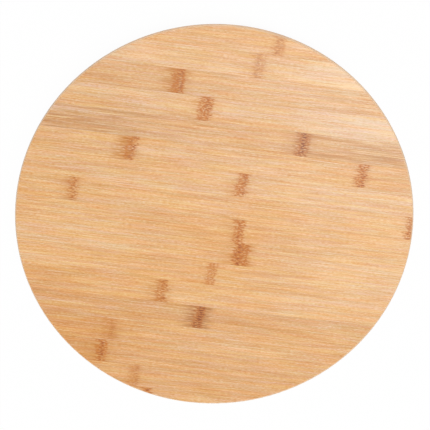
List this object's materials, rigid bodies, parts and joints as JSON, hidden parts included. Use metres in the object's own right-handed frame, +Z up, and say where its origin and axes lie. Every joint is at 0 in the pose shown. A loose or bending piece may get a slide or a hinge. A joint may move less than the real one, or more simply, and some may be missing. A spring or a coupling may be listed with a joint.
{
  "type": "lazy susan turntable",
  "caption": "Round bamboo lazy susan: a flat board with a bevelled rim turns on a pressed steel ball bearing over a smaller footed bamboo disc.",
  "frame": {"origin": "on the spin axis, in the plane that the four rubber feet stand on", "axes": "+Z up along the spin axis; the bamboo grain of both boards runs along X, and the driver hole of the base disc lies on +X"},
  "size_m": [0.35, 0.35, 0.035],
  "materials": {
    "bamboo": "sanded flat-pressed bamboo under a thin clear oil",
    "zinc_plated_plate": "pressed sheet with bright zinc plating",
    "ball_steel": "polished",
    "cage_nylon": "natural nylon",
    "foot_rubber": "moulded, matt",
    "screw_steel": "zinc plated"
  },
  "bodies": {
    "base": {"base_board": "bamboo", "bearing_lower_plate": "zinc_plated_plate", "base_screw_1": "screw_steel", "base_screw_2": "screw_steel", "base_screw_3": "screw_steel", "base_screw_4": "screw_steel", "foot_1": "foot_rubber", "foot_2": "foot_rubber", "foot_3": "foot_rubber", "foot_4": "foot_rubber", "foot_screw_1": "screw_steel", "foot_screw_2": "screw_steel", "foot_screw_3": "screw_steel", "foot_screw_4": "screw_steel"},
    "turntable": {"top_board": "bamboo", "bearing_upper_plate": "zinc_plated_plate", "board_screw_1": "screw_steel", "board_screw_2": "screw_steel", "board_screw_3": "screw_steel", "board_screw_4": "screw_steel"},
    "ball_ring": {"ball_cage": "cage_nylon", "ball_01": "ball_steel", "ball_02": "ball_steel", "ball_03": "ball_steel", "ball_04": "ball_steel", "ball_05": "ball_steel", "ball_06": "ball_steel", "ball_07": "ball_steel", "ball_08": "ball_steel", "ball_09": "ball_steel", "ball_10": "ball_steel", "ball_11": "ball_steel", "ball_12": "ball_steel", "ball_13": "ball_steel", "ball_14": "ball_steel", "ball_15": "ball_steel", "ball_16": "ball_steel", "ball_17": "ball_steel", "ball_18": "ball_steel", "ball_19": "ball_steel", "ball_20": "ball_steel", "ball_21": "ball_steel", "ball_22": "ball_steel", "ball_23": "ball_steel", "ball_24": "ball_steel"}
  },
  "joints": [
    {"name": "board_spin", "type": "hinge", "parent": "base", "child": "turntable", "pos_m": [0, 0, 0.019], "axis": [0, 0, 1], "continuous": true},
    {"name": "ball_ring_spin", "type": "hinge", "parent": "base", "child": "ball_ring", "pos_m": [0, 0, 0.019], "axis": [0, 0, 1], "continuous": true}
  ],
  "couplings": [
    {"joint": "ball_ring_spin", "follows": "board_spin", "ratio": 0.5}
  ]
}
